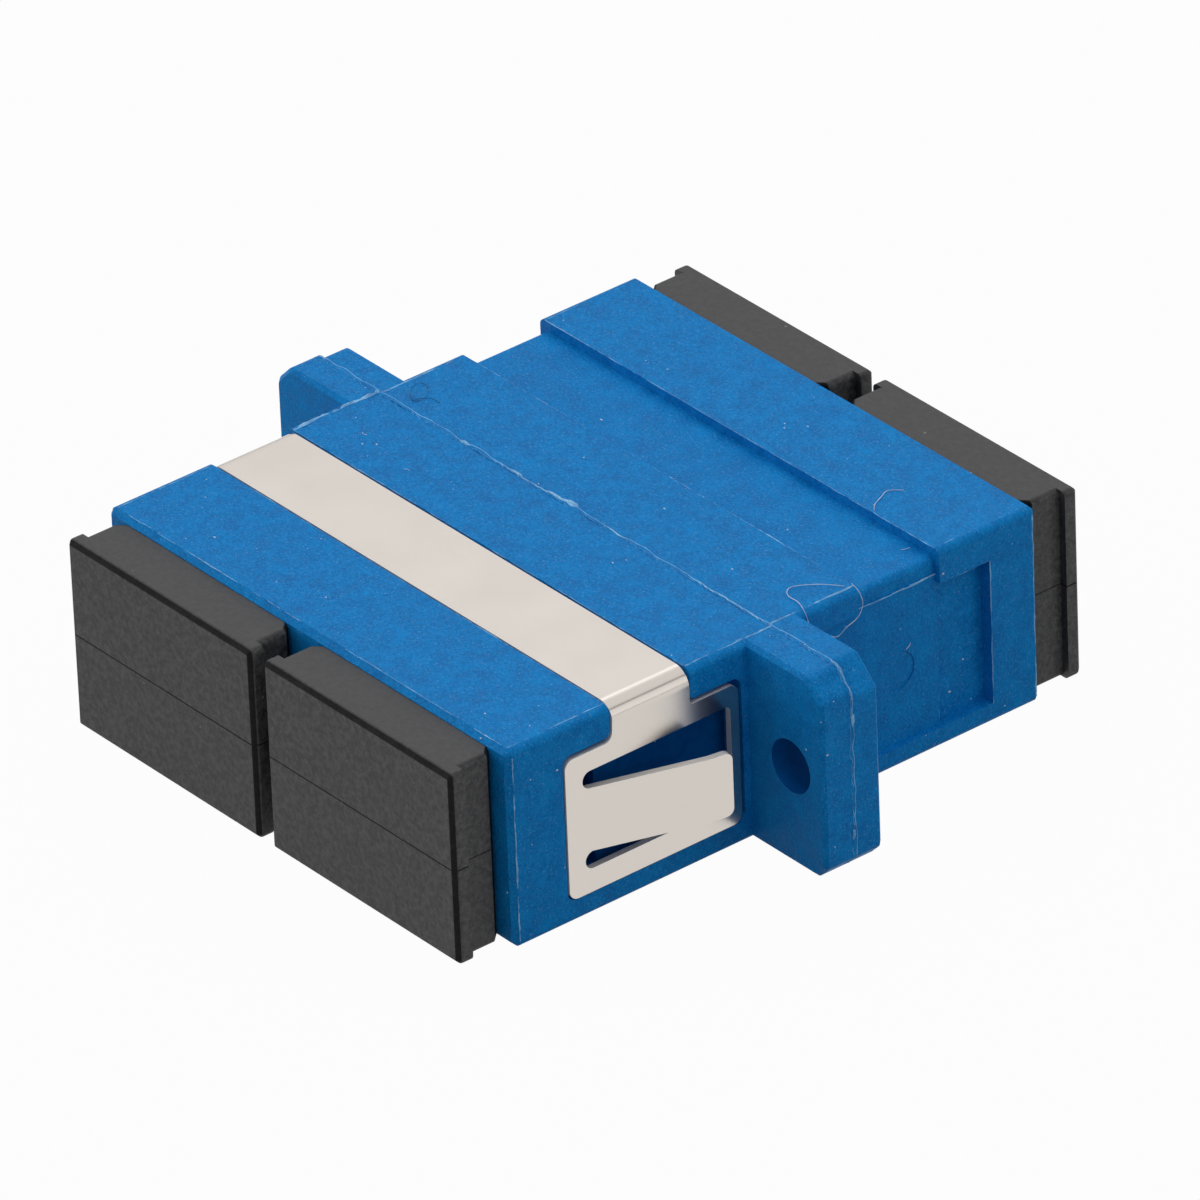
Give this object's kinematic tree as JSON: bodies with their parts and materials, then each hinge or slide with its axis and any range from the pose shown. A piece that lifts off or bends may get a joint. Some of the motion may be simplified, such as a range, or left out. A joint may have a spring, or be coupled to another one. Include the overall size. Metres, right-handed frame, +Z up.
{
  "type": "sc fibre adapter",
  "caption": "Duplex coupler for fibre plugs: a flanged blue moulded body with a sprung steel panel clip, open ports each end and black push-in dust caps.",
  "frame": {"origin": "midway between the two screw holes, on the flange's front face, which bears on the panel", "axes": "+X across the two ports, -Y out of the front ports, +Z up"},
  "size_m": [0.0346, 0.0327, 0.0093],
  "materials": {
    "housing_plastic": "fine spark-eroded texture",
    "clip_steel": "bright rolled sheet",
    "cap_plastic": "soft matte",
    "latch_plastic": "natural moulded",
    "sleeve_ceramic": "ground zirconia"
  },
  "bodies": {
    "adapter": {"front_housing": "housing_plastic", "rear_housing": "housing_plastic", "spring_clip": "clip_steel", "front_left_latch": "latch_plastic", "front_right_latch": "latch_plastic", "rear_left_latch": "latch_plastic", "rear_right_latch": "latch_plastic", "left_sleeve": "sleeve_ceramic", "right_sleeve": "sleeve_ceramic"},
    "front_left_cap": {"front_left_cap": "cap_plastic"},
    "front_right_cap": {"front_right_cap": "cap_plastic"},
    "rear_left_cap": {"rear_left_cap": "cap_plastic"},
    "rear_right_cap": {"rear_right_cap": "cap_plastic"}
  },
  "joints": [
    {"name": "front_left_cap_pull", "type": "slide", "parent": "adapter", "child": "front_left_cap", "axis": [0, -1, 0], "range_m": [0, 0.032]},
    {"name": "front_right_cap_pull", "type": "slide", "parent": "adapter", "child": "front_right_cap", "axis": [0, -1, 0], "range_m": [0, 0.032]},
    {"name": "rear_left_cap_pull", "type": "slide", "parent": "adapter", "child": "rear_left_cap", "axis": [0, 1, 0], "range_m": [0, 0.032]},
    {"name": "rear_right_cap_pull", "type": "slide", "parent": "adapter", "child": "rear_right_cap", "axis": [0, 1, 0], "range_m": [0, 0.032]}
  ]
}
